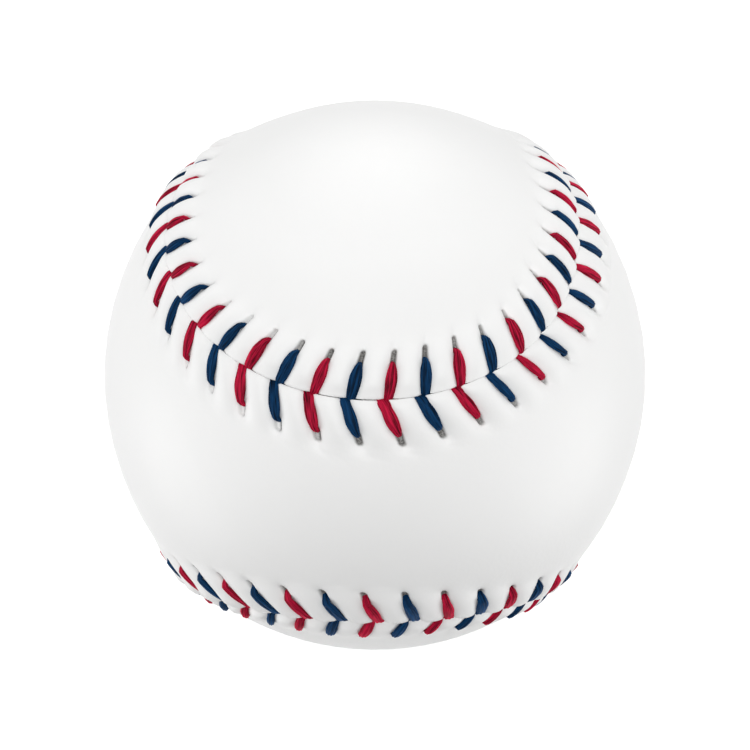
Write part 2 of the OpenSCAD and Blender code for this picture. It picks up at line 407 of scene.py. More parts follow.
    def groove(self, side, number, across):
        """Depth below the leather of the nearly straight bed of a leg, from the seam to its needle hole."""
        own, reach = self.seam, self.stitches.reach
        share = np.clip(across / reach, 0, 1)
        tuck, far = self.tuck(number), self.far(number)
        hole = self.ridge(side, reach, far) - own.groove_depth * (1 - self.HOLE_EASED_BELOW * tuck)
        if side == REAR:
            hole = hole - self.REAR_FAR_SINK * far
        eased = self.SEAM_EASED_BELOW * tuck + self.SEAM_EASED_TIGHT * self.tightness(number)
        seam_end = -own.seam_sink * (1 - eased) - own.valley_depth * far
        bow = self.BOW + (self.FRONT_FAR_BOW if side == FRONT else self.REAR_FAR_BOW) * far
        bed = hole * share + seam_end * (1 - share) + bow * np.sin(math.pi * share)
        return self.ridge(side, share * reach, far) - self.lip(side, number, share * reach) - bed


def hand_of_the_sewer(count):
    """Small differences between the stitches of each cover, the same in each run."""
    rng = np.random.default_rng(SEED)
    ranges = {
        "depth": (0.8, 1.2),
        "length": (0.88, 1.12),
        "crease": (0.4, 1.6),
        "width": (0.92, 1.08),
        "bow": (-0.4, 1.0),
    }
    drawn = {key: rng.uniform(*limits, (2, count)) for key, limits in ranges.items()}
    return {side: {key: rows[row] for key, rows in drawn.items()} for row, side in enumerate((FRONT, REAR))}


def new_mesh(name, points, faces):
    """An object of one smooth mesh, in the frame."""
    mesh = bpy.data.meshes.new(name)
    mesh.from_pydata(points.tolist(), [], faces)
    mesh.validate()
    mesh.polygons.foreach_set("use_smooth", np.ones(len(mesh.polygons), bool))
    piece = bpy.data.objects.new(name, mesh)
    bpy.context.scene.collection.objects.link(piece)
    return piece


def point_values(piece, name, values):
    """Keeps one number for each corner of a mesh, for its material to read."""
    layer = piece.data.attributes.new(name, "FLOAT", "POINT")
    layer.data.foreach_set("value", np.asarray(values, np.float32))


# Leather covers

# Lines across the seam in one pitch, the even share of their spacing, and steps of a strip across a cover
STATIONS = 24
EVEN_STATIONS = 0.38
FACE_STEPS = 12

# The flesh side: corners of its edge for each stitch, lines along the seam, steps of a strip, the distance
# of its edge from the seam, and how raw it looks
LINING_CORNERS = 4
LINING_COLUMNS = 5
LINING_STEPS = 10
LINING_EDGE = 0.25 * MM
LINING_RAWNESS = 0.1

# The angle from a lobe's middle at which it turns flatter, the angles from the top between which the rim
# turns fuller, and the heights, as shares of the radius, between which the rim ends below
LOBE_ANGLE = math.radians(42)
RIM_ANGLES = (math.radians(30), math.radians(41))
RIM_HEIGHTS = (-0.2, 0.4)


def station_shares():
    """Places of the lines across the seam within one pitch, as shares of it: close together at the leg."""
    even = (np.arange(STATIONS) + 0.5) / STATIONS - 0.5
    return EVEN_STATIONS * even + (1 - EVEN_STATIONS) * 4 * even**3


def band_columns(foot, reach):
    """Distances from the seam of the lines along it, close together at the edge and at the needle slots."""
    edge_end = 0.9 * MM
    edge_lines, edge_crowding = 7, 1.3
    hole_start, hole_end = reach - 0.6 * MM, reach + 0.6 * MM
    slot_end, band_end = reach + 2.3 * MM, foot + 1.8 * MM
    edge = edge_end * np.linspace(0, 1, edge_lines, endpoint=False) ** edge_crowding
    runs = ((edge_end, hole_start, 9), (hole_start, hole_end, 5), (hole_end, slot_end, 13))
    lines = [np.linspace(start, end, count, endpoint=False) for start, end, count in runs]
    fall = np.linspace(slot_end, band_end, 6)
    return np.concatenate([edge, *lines, fall])


def pillows(line, side, offset, across, signed):
    """How far the leather swells between two stitches, with more of it at the front cover's lower left."""
    crown = np.cos(math.pi * offset / line.pitch) ** 2
    extra_share, extra_limits = 1.5, (3.2 * MM, 1 * MM)
    fullness = 1.0
    if side == FRONT:
        fullness = 1 + extra_share * during(FULL_LOW_LEFT, signed) * smooth(*extra_limits, across)
    return line.seam.pillow_height * fullness * (1 - crown)


def groove_spread(line, side, offset, across, tight):
    """Half width of the groove that a leg presses into the leather, narrower towards the seam."""
    loose_share, lost_tight, narrow_end = 0.68, 0.24, 2.2 * MM
    share_at_seam = loose_share - lost_tight * tight
    if side == REAR:
        wide_behind, behind_leg = 0.75, (0.1 * MM, -0.5 * MM)
        share_at_seam = share_at_seam + wide_behind * smooth(*behind_leg, offset) * tight
    return line.seam.groove_width * (share_at_seam + (1 - share_at_seam) * smooth(0, narrow_end, across))


def edge_turn(line, across, tight):
    """How far the cut edge turns down into the seam, less where it is sewn tight."""
    turned, lost_tight = 0.35 * MM, 0.6
    return line.seam.edge_roll * (1 - lost_tight * tight) * np.clip(1 - across / turned, 0, 1) ** 2


def needle_slot(line, side, place, offset, across, end):
    """Depth of the dimple and the open slot beyond a leg, and how raw they look with the painted shade
    inside the slot, by the slot's end.
    """
    tight, signed = line.tightness(place), line.signed(place)
    right = smooth(*RIGHT_SLOTS, signed) * tight
    under_thread = 0.15 * MM
    start = line.stitches.reach - under_thread
    beyond = np.maximum(np.maximum(start - across, across - end), 0)
    from_slot = np.hypot(offset, beyond)
    dimple_depth, dimple_width = (0.16 + 0.1 * right) * MM, 0.75 * MM
    dimple = dimple_depth * bell(from_slot, dimple_width)

    # A slot narrows and closes outward where the thread is drawn tight
    outward = np.clip((across - start) / (end - start), 0, 1)
    narrowing = 0.05 + 0.6 * tight - 0.25 * right
    half = line.stitches.slot_width / 2 * (1 - narrowing * outward)
    wall = (half - 0.14 * MM, half + 0.03 * MM)
    closed_tight, closing_shares = 0.5, (0.1, 0.7)
    inside = (1 - smooth(*wall, from_slot)) * (1 - closed_tight * tight * smooth(*closing_shares, outward))
    cut_share, eased_far = 0.45, 0.4
    depth = cut_share * line.seam.leather_thickness * inside * (1 - eased_far * line.far(place))

    # On the left a slot is painted as a pale, lit slit, with one dark edge of painted shadow
    pale_from = (0.3, 1.8) if side == FRONT else (1.2, 4)
    dark_again_below = (-41, -36)
    painted_light_left = smooth(*pale_from, -signed) * smooth(*dark_again_below, signed)
    pale_shade, painted_shadow_edge, edge_width = 0.12, 0.55 * half, 0.14 * MM
    slit_with_painted_shadow = pale_shade + (1 - pale_shade) * bell(offset - painted_shadow_edge, edge_width)
    return dimple + depth, inside * (1 + (slit_with_painted_shadow - 1) * painted_light_left)


def slot_crease(offset, across, start, length):
    """Depth of the fine crease that runs on from the end of a needle slot."""
    depth, width, blend = 0.07 * MM, 0.4 * MM, 0.2 * MM
    run = smooth(start - blend, start + blend, across) * (1 - smooth(start, start + length, across))
    return depth * run * bell(offset, width)


def leather_relief(line, side, number, offset, across, hand):
    """Height of the leather beside the seam, and how raw it looks: 1 inside an open needle slot, where the
    raw grey also paints the slot's shade.
    """
    own = hand[side]
    reach = line.stitches.reach
    place = number + offset / line.pitch
    tight, signed = line.tightness(place), line.signed(place)
    sewn_limits = (reach - 0.2 * MM, 8 * MM)
    sewn = 1 - smooth(*sewn_limits, across)
    height = line.ridge(side, across, line.far(place)) - line.lip(side, place, across)
    height = height + pillows(line, side, offset, across, signed) * sewn
    bed = line.groove(side, place, across) * own["depth"][number]
    height = height - bed * bell(offset, groove_spread(line, side, offset, across, tight)) * sewn
    height = height - edge_turn(line, across, tight)
    slot_end = reach + line.slot_length(side) * own["length"][number]
    slot_depth, rawness_and_slot_shade = needle_slot(line, side, place, offset, across, slot_end)
    crease_length = 2.2 * MM * own["crease"][number]
    return height - slot_depth - slot_crease(offset, across, slot_end, crease_length), rawness_and_slot_shade


def swelling(line, side, directions):
    """How far the leather lies above a true ball: the front lobes are flatter, a rear rim is fuller."""
    if side == FRONT:
        toward_lobe = np.abs(directions[..., 0])
        return -line.seam.lobe_flattening * smooth(math.cos(LOBE_ANGLE), 1, toward_lobe)
    upward = directions[..., 2]
    steep = smooth(*(math.cos(angle) for angle in RIM_ANGLES), upward)
    return line.seam.rim_swelling * steep * smooth(*RIM_HEIGHTS, upward)


def across_faces(ring, inner, steps, first):
    """Faces of a cover inside its band: strips from each point of the band to the point opposite."""
    count = len(ring)
    half = count // 2

    def strip(j):
        """Corners of one line from the band to the point opposite."""
        start, end = ring[(first + j) % count], ring[(first - j) % count]
        if j in (0, half):
            return [start]
        return [start] + [inner + (j - 1) * (steps - 1) + k for k in range(steps - 1)] + [end]

    faces = []
    for j in range(half):
        here, there = strip(j), strip(j + 1)
        if len(here) == 1:
            faces += [(here[0], there[k + 1], there[k]) for k in range(steps)]
        elif len(there) == 1:
            faces += [(here[k], here[k + 1], there[0]) for k in range(steps)]
        else:
            faces += [(here[k], here[k + 1], there[k + 1], there[k]) for k in range(steps)]
    return faces


def across_points(ring_directions, steps, first):
    """Directions of the points inside a cover's band, on great circles between opposite points."""
    count = len(ring_directions)
    j = np.arange(1, count // 2)
    start = ring_directions[(first + j) % count][:, None, :]
    end = ring_directions[(first - j) % count][:, None, :]
    angle = np.arccos(np.clip((start * end).sum(-1, keepdims=True), -1, 1))
    share = (np.arange(1, steps) / steps)[None, :, None]
    blend = (np.sin((1 - share) * angle) * start + np.sin(share * angle) * end) / np.sin(angle)
    return unit(blend).reshape(-1, 3)


def sheet(line, side, directions, height, inner_height, steps, first):
    """Points, faces and edge ring of one side of a cover: a band along the seam and strips inside it."""
    height = height + swelling(line, side, directions)
    band = ((BALL_RADIUS + height)[..., None] * directions).reshape(-1, 3)
    inner = across_points(directions[:, -1], steps, first)
    inner_radius = BALL_RADIUS + inner_height + swelling(line, side, inner)
    points = np.concatenate([band, inner_radius[:, None] * inner])
    index = np.arange(height.size).reshape(height.shape)
    after = np.roll(index, -1, axis=0)
    quads = np.stack([index[:, :-1], index[:, 1:], after[:, 1:], after[:, :-1]], -1).reshape(-1, 4)
    faces = [tuple(quad) for quad in quads.tolist()]
    faces += across_faces(index[:, -1].tolist(), height.size, steps, first)
    return points, faces, index[:, 0]


def cover_face(line, side, hand):
    """Points, faces and edge ring of a cover's outer face, and how raw it looks at each point, with the
    painted shade of its needle slots.
    """
    seam, stitches = line.seam, line.stitches
    columns = band_columns(line.foot(side), stitches.reach)
    numbers = np.repeat(np.arange(stitches.count), STATIONS)
    shares = np.tile(station_shares(), stitches.count)
    offsets, places = shares * line.pitch, numbers + shares
    count = len(numbers)
    start = round((0.5 + stitches.phase) * STATIONS)
    across = columns[None, :]

    # The seam opens a little at each stitch and in the middle of the front
    stitch_width, slack_middle, slack_stitches, opening = 0.5 * MM, 0.3, 1.0, 2 * MM
    wedge = seam.gap_at_stitch * (1 - line.tightness(numbers)) * bell(offsets, stitch_width)
    slack = seam.front_slack * bell(line.signed(places) - slack_middle, slack_stitches)
    opened = (seam.gap + wedge + slack)[:, None] / 2
    true_across = across + opened * np.clip(1 - across / opening, 0, 1)

    # Away from the stitches the lines settle to an even spacing and to their plain distance
    settle_start = stitches.reach + 2 * MM
    settle = smooth(settle_start, columns[-1], across)
    even_along = (np.arange(count) - STATIONS // 2 + start) * line.length / count
    along = line.sewn_at(side, places)[:, None] + line.slot_line(side, places[:, None], across)
    along = along * (1 - settle) + even_along[:, None] * settle
    stretch = line.stretch(side, places)[:, None]
    true_across = true_across * (stretch + (1 - stretch) * settle)

    height, rawness_and_slot_shade = leather_relief(line, side, numbers[:, None], offsets[:, None], across, hand)
    directions = line.directions(along, side * true_across)
    first = STATIONS // 2 - start + (count // 4 if side == FRONT else 0)
    points, faces, edge = sheet(line, side, directions, height, 0.0, FACE_STEPS, first)
    rawness_and_slot_shade = np.concatenate([rawness_and_slot_shade.reshape(-1), np.zeros(len(points) - rawness_and_slot_shade.size)])
    return points, faces, edge, rawness_and_slot_shade


def cover_lining(line, side):
    """Points, faces and edge ring of a cover's flesh side, which lies on the winding."""
    count = line.stitches.count * LINING_CORNERS
    columns = np.linspace(LINING_EDGE, line.foot(side), LINING_COLUMNS)
    along = np.arange(count) * line.length / count
    directions = line.directions(along[:, None], side * columns[None, :])
    depth = -line.seam.leather_thickness
    height = line.ridge(side, columns)[None, :] + depth
    return sheet(line, side, directions, height, depth, LINING_STEPS, count // 4 if side == FRONT else 0)


def edge_faces(outer, lining, points):
    """Faces of a cover's cut edge, between the fine ring of its face and the coarse ring of its lining."""
    share = len(outer) // len(lining)
    first = int(np.argmin(np.linalg.norm(points[outer] - points[lining[0]], axis=1)))
    outer = np.roll(outer, -first)
    faces = []
    for k in range(len(lining)):
        here, there = lining[k], lining[(k + 1) % len(lining)]
        fine = [outer[(k * share + s) % len(outer)] for s in range(share + 1)]
        faces += [(int(fine[s]), int(fine[s + 1]), int(here)) for s in range(share)]
        faces.append((int(fine[-1]), int(there), int(here)))
    return faces


def turned_over(faces):
    """Faces that point the other way."""
    return [face[::-1] for face in faces]


def leather_cover(scene, side, name):
    """One figure-eight cover of leather, as a closed sheet with its grooves, pillows and needle slots."""
    line = SeamLine(scene)
    hand = hand_of_the_sewer(line.stitches.count)
    face_points, faces, outer, rawness_and_slot_shade = cover_face(line, side, hand)
    lining_points, lining_faces, lining = cover_lining(line, side)
    start = len(face_points)
    points = np.concatenate([face_points, lining_points])
    lining_faces = [tuple(corner + start for corner in face) for face in lining_faces]
    rim = edge_faces(outer, lining + start, points)

    # All faces look out of the leather
    if side == FRONT:
        lining_faces = turned_over(lining_faces)
    else:
        faces, rim = turned_over(faces), turned_over(rim)
    piece = new_mesh(name, points, faces + lining_faces + rim)
    rawness_and_slot_shade = np.concatenate([rawness_and_slot_shade, np.full(len(lining_points), LINING_RAWNESS)])
    point_values(piece, "raw_leather_and_slot_shade", rawness_and_slot_shade)
    return piece


# Threads

# Rings of corners along a leg and along a run under the leather, corners in a ring, strands in a thread, the
# share by which they stand out, and the length in which each moves to the next one's place
OVER_RINGS = 22
UNDER_RINGS = 5
SIDES = 40
STRANDS = 8
STRAND_RELIEF = 0.12
TWIST_LENGTH = 24 * MM

# Any direction that isn't along the thread's first step
FIRST_CORNER = np.array([0.3, 0.5, 0.8])


def leg_width(line, side, number, leg, flare):
    """Width of a leg from its needle hole, at 0, to the seam, at 1, where it flares along the seam."""
    stitches = line.stitches
    signed, tight, tuck = line.signed(number), line.tightness(number), line.tuck(number)
    left = line.left(number)
    rear_share, widest_plain, widest_drawn = 0.7, 0.5, 0.3
    drawn_out = left if side == FRONT else rear_share * np.maximum(left, line.far(number))
    widest = widest_plain + widest_drawn * drawn_out
    wide_below, narrow_drawn = 0.55, 0.5
    at_hole = stitches.width_at_hole * (1 + wide_below * tuck - narrow_drawn * drawn_out)
    fullness, waist, waist_length = 0.9, 0.12, 0.3
    rise = np.sin(math.pi / 2 * np.clip(leg / widest, 0, 1)) ** fullness
    width = at_hole + (stitches.width - at_hole) * rise
    width = width - waist * stitches.width * smooth(widest, widest + waist_length, leg)
    if side == FRONT:
        thin_share, thin_middle, thin_stitches = 0.38, 5.7, 1.9
        at_seam, drawn = stitches.front_width_at_seam, during(DRAWN_RIGHT, signed)
        width = width * (1 - thin_share * bell(signed - thin_middle, thin_stitches))
    else:
        drawn_share, drawn_from, thin_low = 0.7, (3.5, 6), 0.25
        at_seam, drawn = stitches.rear_width_at_seam, drawn_share * smooth(*drawn_from, signed)
        width = width * (1 - thin_low * tuck * smooth(*LOW_FLANKS, np.abs(signed)))
    lost_tight, lost_drawn, thin_left = 0.15, 0.55, 0.16
    at_seam = at_seam * (1 - lost_tight * tight - lost_drawn * drawn)
    return (width + (at_seam - width) * flare) * (1 - thin_left * left)


def leg_thickness(line, side, number, leg):
    """Thickness of a leg from its needle hole to the seam, fullest in the middle."""
    at_ends, full_left = 0.8, 0.15
    thickness = line.stitches.thickness * (at_ends + (1 - at_ends) * np.sin(math.pi * leg))
    thickness = thickness * (1 + full_left * line.left(number))
    if side == REAR:
        sunk_share, sunk_length = 0.6, 0.6
        thickness = thickness * (1 - sunk_share * line.far(number) * (1 - smooth(0, sunk_length, leg)))
    return thickness


def leg_over(line, number, side, hand):
    """Points, widths, thicknesses and flat directions of one leg, from its needle hole to the seam."""
    own = {key: values[number] for key, values in hand[side].items()}

    # The leg lies on the leather as far as the seam's brink, and then turns down into it
    share = np.linspace(0, 1, OVER_RINGS)
    lying, turn_start = 0.84, 0.1
    start, brink, end = line.stitches.reach + 0.12 * MM, 0.28 * MM, 0.03 * MM
    on_leather = start + (brink - start) * share / lying
    in_seam = end + (brink - end) * (1 - smooth(lying - turn_start, 1, share))
    across = np.where(share < lying, on_leather, in_seam)
    leg = np.clip((start - across) / start, 0, 1)
    flare_limits = (0.72, 0.99)
    flare = smooth(*flare_limits, leg)
    width = leg_width(line, side, number, leg, flare) * own["width"]
    thickness = leg_thickness(line, side, number, leg)

    # It rests in its groove, comes up out of its hole and dives at the seam
    clear, hole_depth, hole_share = 0.04 * MM, 0.85 * MM, 0.08
    dive_depth, dive_start, dive_curve = 1.1 * MM, lying - 0.04, 1.5
    bed = line.groove(side, number, across) * own["depth"]
    level = line.ridge(side, across, line.far(number)) - line.lip(side, number, across) - bed
    height = level + 0.5 * thickness + clear - (1 - smooth(0, hole_share, share)) * hole_depth
    dive = np.clip((share - dive_start) / (1 - dive_start), 0, 1) ** dive_curve
    height = height - dive * dive_depth

    most_bowed = 0.1 * MM
    bow = -most_bowed * own["bow"] * np.sin(math.pi * leg)
    along = line.sewn_at(side, number) + line.leg_line(side, number, across) + bow
    across = across * line.stretch(side, number)
    height = height + swelling(line, side, line.directions(along, side * across))
    points = line.place(along, side * across, height)

    # It is flat on the leather, square to its own line, and flat along the seam where it dives
    near_hole, near_seam, small_step = 3, -7, 0.1 * MM
    square = unit(np.cross(unit(points), points[near_seam] - points[near_hole]))
    ahead = line.place(along + small_step, side * across, height) - points
    square = square * np.sign((square * ahead).sum(-1, keepdims=True))
    flat = unit(square * (1 - flare[:, None]) + unit(ahead) * flare[:, None])
    return points, width, thickness, flat


def run_under(line, start, end, reach):
    """Points of the thread's round run under the leather, from the seam to a needle hole, and its widths."""
    thickness, clear = line.stitches.thickness, 0.1 * MM
    share = (np.arange(UNDER_RINGS) + 0.5) / UNDER_RINGS
    along = start + (end - start) * share
    across = reach * share
    side = FRONT if reach > 0 else REAR
    height = line.ridge(side, np.abs(across)) - line.seam.leather_thickness - thickness / 2 - clear
    height = height + swelling(line, side, line.directions(along, across))
    points = line.place(along, across, height)
    flat = np.cross(points[UNDER_RINGS // 2], points[-1] - points[0])
    widths = np.full(UNDER_RINGS, thickness)
    return points, widths, widths, np.broadcast_to(unit(flat), points.shape)


def thread_route(line, first, hand):
    """The whole run of one thread: it sews every second stitch, and goes round the seam twice."""
    stitches = line.stitches
    own = stitches.count // 2

    def leg_at(k):
        """Stitch and cover of one leg: covers in turn, and each stitch's other cover in the second round."""
        cover = FRONT if k % 2 == 0 else REAR
        changed = k >= own and own % 2 == 0
        return first + 2 * (k % own), -cover if changed else cover

    parts = []
    for k in range(2 * own):
        number, side = leg_at(k)
        parts.append(leg_over(line, number, side, hand))
        if k == 2 * own - 1:
            break
        following, next_side = leg_at(k + 1)
        start = line.sewn_at(side, number) + line.leg_line(side, number, 0)
        end = line.sewn_at(next_side, following) + line.leg_line(next_side, following, stitches.reach)
        end = end + (line.length if following < number else 0)
        reach = next_side * stitches.reach * line.stretch(next_side, following)
        parts.append(run_under(line, start, end, reach))
    return tuple(np.concatenate(values) for values in zip(*parts))


def square_to(vectors, axes):
    """The parts of vectors that are square to axes, of length 1."""
    return unit(vectors - (vectors * axes).sum(-1, keepdims=True) * axes)


def carried_corners(axes):
    """A direction square to each axis, carried on from one to the next without a twist."""
    corner = square_to(FIRST_CORNER, axes[0])
    corners = [corner]
    for axis in axes[1:]:
        corner = square_to(corner, axis)
        corners.append(corner)
    return np.array(corners)


def sewing_thread(scene, first, name):
    """One unbroken waxed thread, as a tube of strands along its whole sewn run."""
    line = SeamLine(scene)
    hand = hand_of_the_sewer(line.stitches.count)
    centre, width, thickness, flat = thread_route(line, first, hand)
    axes = unit(np.gradient(centre, axis=0))
    tall = unit(np.cross(axes, flat))
    corners = carried_corners(axes)
    start = np.arctan2((corners * tall).sum(-1), (corners * flat).sum(-1))
    turn = np.arange(SIDES) * 2 * math.pi / SIDES
    angle = start[:, None] + turn[None, :]
    length = np.concatenate([[0], np.cumsum(np.linalg.norm(np.diff(centre, axis=0), axis=1))])
    twist = length[:, None] / TWIST_LENGTH * 2 * math.pi
    strand = 1 + STRAND_RELIEF * np.cos(STRANDS * turn[None, :] + twist)
    across = (width[:, None] / 2 * np.cos(angle) * strand)[..., None] * flat[:, None, :]
    upward = (thickness[:, None] / 2 * np.sin(angle) * strand)[..., None] * tall[:, None, :]
    rings = centre[:, None, :] + across + upward
    count = len(centre)
    index = np.arange(count * SIDES).reshape(count, SIDES)
    beside = np.roll(index, -1, axis=1)
    quads = np.stack([index[:-1], beside[:-1], beside[1:], index[1:]], -1).reshape(-1, 4)
    faces = [tuple(quad) for quad in quads.tolist()]
    faces.append(tuple(index[0][::-1].tolist()))
    faces.append(tuple(index[-1].tolist()))
    piece = new_mesh(name, rings.reshape(-1, 3), faces)
    point_values(piece, "along_thread", np.repeat(length / MM, SIDES))
    point_values(piece, "round_thread", np.tile(turn, count))
    return piece


# Materials


def new_material(name):
    """An empty node material, its node tree and its shader."""
    material = bpy.data.materials.new(name)
    material.use_nodes = True
    tree = material.node_tree
    return material, tree, tree.nodes["Principled BSDF"]


def fill(tree, made, inputs):
    """Sets a node's inputs: a socket is joined to its input, and anything else is the input's value."""
    for key, value in inputs.items():
        if isinstance(value, bpy.types.NodeSocket):
            tree.links.new(value, made.inputs[key])
        else:
            made.inputs[key].default_value = value


def node(tree, kind, inputs=None, **settings):
    """A node of one kind, with its settings and its inputs."""
    made = tree.nodes.new(kind)
    for key, value in settings.items():
        setattr(made, key, value)
    fill(tree, made, inputs or {})
    return made


def object_place(tree):
    """Places on the piece, in metres."""
    return node(tree, "ShaderNodeTexCoord").outputs["Object"]


def point_value(tree, name):
    """The numbers that a mesh keeps for its corners under one name."""
    return node(tree, "ShaderNodeAttribute", attribute_name=name).outputs["Fac"]


def calculated(tree, operation, *numbers):
    """The result of one operation on one or two numbers."""
    return node(tree, "ShaderNodeMath", dict(enumerate(numbers)), operation=operation).outputs["Value"]


def noise(tree, place, scale, detail):
    """Noise at a place, from 0 to 1."""
    inputs = {"Vector": place, "Scale": scale, "Detail": detail}
    return node(tree, "ShaderNodeTexNoise", inputs).outputs["Fac"]


def grain(tree, size, detail=2.0):
    """Noise on the piece with features of about this size, in metres."""
    return noise(tree, object_place(tree), 1 / size, detail)


def blend_colour(tree, share, first, second):
    """A colour between two others."""
    made = node(tree, "ShaderNodeMix", {"Factor": share}, data_type="RGBA")
    sockets = [index for index, socket in enumerate(made.inputs) if socket.type == "RGBA"]
    for index, value in zip(sockets, (first, second)):
        fill(tree, made, {index: value if isinstance(value, bpy.types.NodeSocket) else (*value, 1)})
    return next(socket for socket in made.outputs if socket.type == "RGBA")


def ranged(tree, value, low, high, from_low=0.0, from_high=1.0):
    """A number moved from one range to another."""
    inputs = {"Value": value, "From Min": from_low, "From Max": from_high, "To Min": low, "To Max": high}
    return node(tree, "ShaderNodeMapRange", inputs).outputs["Result"]


def bumped(tree, height, distance, normal=None):
    """A normal from a height, with its depth in metres, on top of another normal where one is given."""
    inputs = {"Height": height, "Distance": distance, "Strength": 1.0}
    if normal is not None:
        inputs["Normal"] = normal
    return node(tree, "ShaderNodeBump", inputs).outputs["Normal"]


def shade_of(tone, factor):
    """A darker or lighter tone of a colour."""
    return tuple(min(part * factor, 1) for part in tone)


def leather_material(colours):
    """Smooth white leather: a fine grain, faint pores, soft tone changes, and grey raw edges and needle
    slots, whose deep grey also paints the shade inside the slots.
    """
    material, tree, shader = new_material("white_leather")
    patch, fibre, gloss_patch, fold, pore = 9 * MM, 0.22 * MM, 1.4 * MM, 1.1 * MM, 0.55 * MM
    fold_depth, pore_depth = 0.02 * MM, 0.012 * MM
    dull, pale_fibre = 0.975, 3.4
    tone = blend_colour(tree, grain(tree, patch, 3), colours.leather, shade_of(colours.leather, dull))
    mottle = ranged(tree, grain(tree, fibre), 0.0, 1.0, 0.38, 0.64)
    fibres = blend_colour(tree, mottle, colours.slot, shade_of(colours.slot, pale_fibre))
    pores = node(tree, "ShaderNodeTexVoronoi", {"Vector": object_place(tree), "Scale": 1 / pore})
    folds = bumped(tree, grain(tree, fold, 4), fold_depth)
    # The raw leather grey, blended in by the point values, also paints the shade inside the needle slots
    surface = {
        "Base Color": blend_colour(tree, point_value(tree, "raw_leather_and_slot_shade"), tone, fibres),
        "Roughness": ranged(tree, grain(tree, gloss_patch), 0.4, 0.52),
        "Normal": bumped(tree, pores.outputs["Distance"], pore_depth, normal=folds),
        "Specular IOR Level": 0.4,
    }
    fill(tree, shader, surface)
    return material


def thread_material(name, tone):
    """Waxed thread: fine fibres along its strands, uneven dye with painted shade and highlights in wide dark
    and light streaks, and a soft wax gloss.
    """
    material, tree, shader = new_material(name)
    length_share, fibre_scale, fold_scale, fibre_depth = 0.12, 5.0, 2.0, 0.06 * MM
    # The dark and light shares are wide: besides uneven dye, the streaks paint shade and highlights on the
    # legs
    dark, light, sheen = 0.2, 1.85, 3.4
    turn = point_value(tree, "round_thread")
    drawn_out = calculated(tree, "MULTIPLY", point_value(tree, "along_thread"), length_share)
    circle = {"X": calculated(tree, "COSINE", turn), "Y": calculated(tree, "SINE", turn), "Z": drawn_out}
    place = node(tree, "ShaderNodeCombineXYZ", circle).outputs["Vector"]
    fibres = noise(tree, place, fibre_scale, 4.0)
    folds = noise(tree, place, fold_scale, 2.0)
    dye_and_painted_shade_streaks = ranged(tree, calculated(tree, "ADD", fibres, folds), 0.0, 1.0, 0.79, 1.21)
    surface = {
        "Base Color": blend_colour(tree, dye_and_painted_shade_streaks, shade_of(tone, dark), shade_of(tone, light)),
        "Roughness": ranged(tree, fibres, 0.45, 0.65),
        "Normal": bumped(tree, fibres, fibre_depth),
        "Specular IOR Level": 0.05,
        "Sheen Weight": 0.7,
        "Sheen Roughness": 0.45,
        "Sheen Tint": (*shade_of(tone, sheen), 1),
    }
    fill(tree, shader, surface)
    return material


def yarn_material(name, tone, yarn):
    """Wound yarn of one width: bands of turns that cross each other, with fuzz between them, and painted
    shade in the low grooves between the bands.
    """
    material, tree, shader = new_material(name)
    windings = ((0.3, 0.2, 0.1), (1.2, 0.5, 0.9), (0.6, 1.3, 2.0))
    # The low parts between the bands, which the bump also sinks, are darker: painted shade in the grooves
    wave_share, unevenness, dark = 0.32, 1.2, 0.5
    over = 0.0
    for angles in windings:
        inputs = {"Vector": object_place(tree), "Rotation": angles}
        turned = node(tree, "ShaderNodeVectorRotate", inputs, rotation_type="EULER_XYZ").outputs["Vector"]
        inputs = {"Vector": turned, "Scale": wave_share / yarn, "Distortion": unevenness, "Detail": 2.0}
        wave = node(tree, "ShaderNodeTexWave", inputs).outputs["Fac"]
        over = calculated(tree, "MAXIMUM", over, wave)
    fuzz = bumped(tree, grain(tree, yarn / 4, 4), yarn / 8)
    surface = {
        "Base Color": blend_colour(tree, over, shade_of(tone, dark), tone),
        "Normal": bumped(tree, over, yarn / 2, normal=fuzz),
        "Roughness": 0.92,
        "Sheen Weight": 0.4,
    }
    fill(tree, shader, surface)
    return material


def rubber_material(name, tone):
    """Moulded rubber: matt, with a dusty bloom and a fine pitted skin."""
    material, tree, shader = new_material(name)
    patch, pit, pit_depth, dusty = 3 * MM, 0.3 * MM, 0.03 * MM, 1.5
    bloom = ranged(tree, grain(tree, patch, 5), 0.0, 1.0, 0.35, 0.75)
    surface = {
        "Base Color": blend_colour(tree, bloom, tone, shade_of(tone, dusty)),
        "Roughness": ranged(tree, bloom, 0.55, 0.8),
        "Normal": bumped(tree, grain(tree, pit, 3), pit_depth),
    }
    fill(tree, shader, surface)
    return material


def cork_material():
    """Cork granules bound with rubber: pale and dark grains with dark joints."""
    material, tree, shader = new_material("bound_cork")
    granule, joint_depth = 1.6 * MM, 0.1 * MM
    dark_cork, pale_cork, binder = (0.36, 0.19, 0.085), (0.62, 0.4, 0.21), (0.05, 0.035, 0.03)
    inputs = {"Vector": object_place(tree), "Scale": 1 / granule}
    grains = node(tree, "ShaderNodeTexVoronoi", inputs).outputs["Color"]
    joints = node(tree, "ShaderNodeTexVoronoi", inputs, feature="DISTANCE_TO_EDGE").outputs["Distance"]
    tone = node(tree, "ShaderNodeSeparateColor", {"Color": grains}).outputs["Red"]
    solid = ranged(tree, joints, 0.0, 1.0, 0.02, 0.12)
    surface = {
        "Base Color": blend_colour(tree, solid, binder, blend_colour(tree, tone, dark_cork, pale_cork)),
        "Normal": bumped(tree, solid, joint_depth),
        "Roughness": 0.85,
    }
    fill(tree, shader, surface)
    return material


